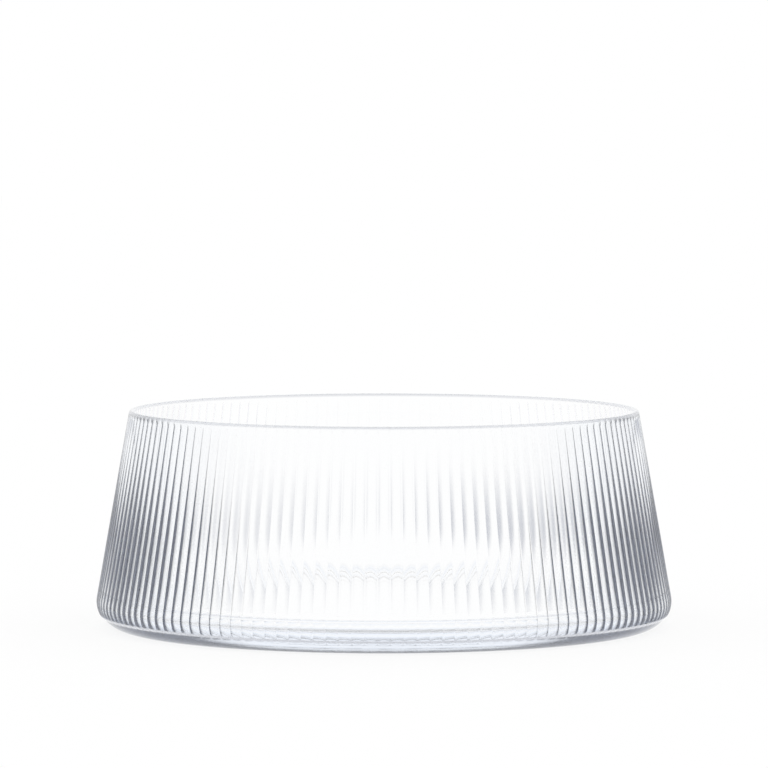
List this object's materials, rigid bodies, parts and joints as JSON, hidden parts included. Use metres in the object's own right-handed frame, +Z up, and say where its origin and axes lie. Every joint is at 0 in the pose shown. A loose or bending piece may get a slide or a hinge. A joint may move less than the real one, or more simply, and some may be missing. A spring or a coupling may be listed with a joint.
{
  "type": "salad bowl",
  "caption": "Wide clear glass salad bowl with a thick base, a broad rounded foot, a wall that leans in to a plain thin rim, and fine upright reeds all round the outside that end just above the table.",
  "frame": {"origin": "centre of the underside, in the plane of the ring that the bowl stands on", "axes": "+Z up through the mouth, along the axis of the bowl; +X and +Y run through the crests of reeds"},
  "size_m": [0.26, 0.26, 0.098],
  "materials": {
    "glass": "polished"
  },
  "bodies": {
    "root": {"bowl": "glass"}
  },
  "joints": []
}
